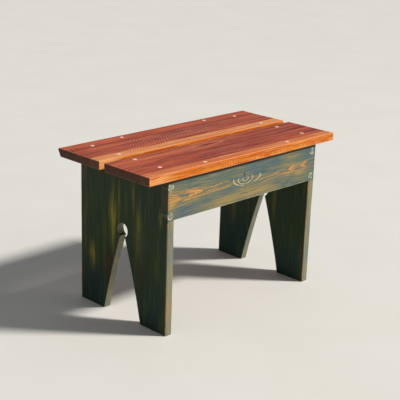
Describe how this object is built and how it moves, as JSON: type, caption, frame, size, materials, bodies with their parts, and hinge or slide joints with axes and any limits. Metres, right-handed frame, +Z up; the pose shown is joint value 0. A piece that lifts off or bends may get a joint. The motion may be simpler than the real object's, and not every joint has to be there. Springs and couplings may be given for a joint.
{
  "type": "five-board bench",
  "caption": "Low wooden bench: a seat of long boards with a gap between them, on two upright end boards cut away below into feet, tied by notched-in front and back aprons.",
  "frame": {"origin": "on the floor, under the middle of the seat", "axes": "+X along the seat, +Y towards the back, +Z up"},
  "size_m": [0.6, 0.298, 0.37],
  "materials": {
    "seat_cedar": "oiled, saw-marked red heartwood with orange sapwood edges",
    "stained_apron": "rubbed blue-green stain over tan grain",
    "stained_end": "rubbed blue-green stain, with worn edges",
    "pale_plug": "end-grain plug, sanded flush",
    "stained_plug": "stained plug, sanded flush",
    "screw_steel": "zinc plated"
  },
  "bodies": {
    "root": {"end_board_left": "stained_end", "end_board_right": "stained_end", "apron_front": "stained_apron", "apron_back": "stained_apron", "seat_board_front": "seat_cedar", "seat_board_back": "seat_cedar", "apron_screws_front_left": "screw_steel", "apron_screws_front_right": "screw_steel", "apron_screws_back_left": "screw_steel", "apron_screws_back_right": "screw_steel", "apron_plugs_front_left": "stained_plug", "apron_plugs_front_right": "stained_plug", "apron_plugs_back_left": "stained_plug", "apron_plugs_back_right": "stained_plug", "seat_screws_left_end": "screw_steel", "seat_screws_right_end": "screw_steel", "seat_screws_front_apron": "screw_steel", "seat_screws_back_apron": "screw_steel", "seat_plugs_left_end": "pale_plug", "seat_plugs_right_end": "pale_plug", "seat_plugs_front_apron": "pale_plug", "seat_plugs_back_apron": "pale_plug"}
  },
  "joints": []
}
